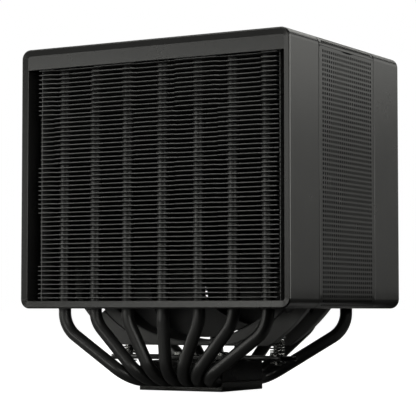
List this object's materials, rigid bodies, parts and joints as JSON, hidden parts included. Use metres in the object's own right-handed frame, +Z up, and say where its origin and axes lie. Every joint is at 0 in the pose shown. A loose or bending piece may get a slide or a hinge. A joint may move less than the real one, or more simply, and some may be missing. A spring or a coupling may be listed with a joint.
{
  "type": "cpu tower cooler",
  "caption": "Cuboid dual tower CPU cooler with U-shaped heat pipes, a fan between the fin stacks, mesh side panels, a lift-off mesh lid and a sprung mounting crossbar.",
  "frame": {"origin": "centre of the cold plate's contact face", "axes": "+Z up through the towers, -Y towards the intake face, +X to the right seen from the intake face"},
  "size_m": [0.1466, 0.1174, 0.164],
  "materials": {
    "shroud_black": "satin black coat",
    "fin_black": "thin black coat on aluminium sheet",
    "pipe_black": "smooth black plated copper",
    "block_black": "black anodised",
    "plated_copper": "machined nickel plate on copper",
    "steel": "bright plated",
    "fan_plastic": "fine satin texture",
    "rubber": "matte",
    "magnet": "nickel plated",
    "ferrite": "dull sintered",
    "bearing_brass": "turned",
    "copper_wire": "enamelled winding",
    "circuit_board": "solder mask"
  },
  "bodies": {
    "cooler": {"cold_plate": "plated_copper", "base_block": "block_black", "heat_pipe_1": "pipe_black", "heat_pipe_2": "pipe_black", "heat_pipe_3": "pipe_black", "heat_pipe_4": "pipe_black", "heat_pipe_5": "pipe_black", "heat_pipe_6": "pipe_black", "heat_pipe_7": "pipe_black", "front_fin_stack": "fin_black", "rear_fin_stack": "fin_black", "front_frame": "shroud_black", "rear_frame": "shroud_black", "left_mesh_panel": "shroud_black", "right_mesh_panel": "shroud_black", "catch_magnet_1": "magnet", "catch_magnet_2": "magnet", "catch_magnet_3": "magnet", "catch_magnet_4": "magnet", "crossbar": "steel", "crossbar_fixing_screw_1": "steel", "crossbar_fixing_screw_2": "steel", "left_spring": "steel", "right_spring": "steel"},
    "fan": {"fan_frame": "fan_plastic", "bearing_sleeve": "bearing_brass", "stator_core": "steel", "stator_coil_1": "copper_wire", "stator_coil_2": "copper_wire", "stator_coil_3": "copper_wire", "stator_coil_4": "copper_wire", "motor_circuit_board": "circuit_board", "front_fan_pad_1": "rubber", "front_fan_pad_2": "rubber", "front_fan_pad_3": "rubber", "front_fan_pad_4": "rubber", "rear_fan_pad_1": "rubber", "rear_fan_pad_2": "rubber", "rear_fan_pad_3": "rubber", "rear_fan_pad_4": "rubber"},
    "rotor": {"fan_impeller": "fan_plastic", "rotor_yoke": "steel", "rotor_magnet_ring": "ferrite", "fan_shaft": "steel"},
    "lid": {"top_mesh_lid": "shroud_black", "lid_magnet_1": "magnet", "lid_magnet_2": "magnet", "lid_magnet_3": "magnet", "lid_magnet_4": "magnet"},
    "left_clip": {"left_retaining_clip": "steel"},
    "left_screw": {"left_mounting_screw": "steel"},
    "right_clip": {"right_retaining_clip": "steel"},
    "right_screw": {"right_mounting_screw": "steel"}
  },
  "joints": [
    {"name": "fan_slide", "type": "slide", "parent": "cooler", "child": "fan", "axis": [0, 0, 1], "range_m": [0, 0.15]},
    {"name": "rotor_spin", "type": "hinge", "parent": "fan", "child": "rotor", "pos_m": [0, 0.0031, 0.0913], "axis": [0, 1, 0], "continuous": true},
    {"name": "lid_lift", "type": "slide", "parent": "fan", "child": "lid", "axis": [0, 0, 1], "range_m": [0, 0.04]},
    {"name": "left_screw_travel", "type": "slide", "parent": "cooler", "child": "left_clip", "axis": [0, 0, -1], "range_m": [0, 0.0028], "stiffness_N_per_m": 600, "springref_m": -0.002, "deforming": ["left_spring"]},
    {"name": "left_screw_turn", "type": "hinge", "parent": "left_clip", "child": "left_screw", "pos_m": [-0.0415, 0, 0.0165], "axis": [0, 0, 1], "continuous": true},
    {"name": "right_screw_travel", "type": "slide", "parent": "cooler", "child": "right_clip", "axis": [0, 0, -1], "range_m": [0, 0.0028], "stiffness_N_per_m": 600, "springref_m": -0.002, "deforming": ["right_spring"]},
    {"name": "right_screw_turn", "type": "hinge", "parent": "right_clip", "child": "right_screw", "pos_m": [0.0415, 0, 0.0165], "axis": [0, 0, 1], "continuous": true}
  ]
}
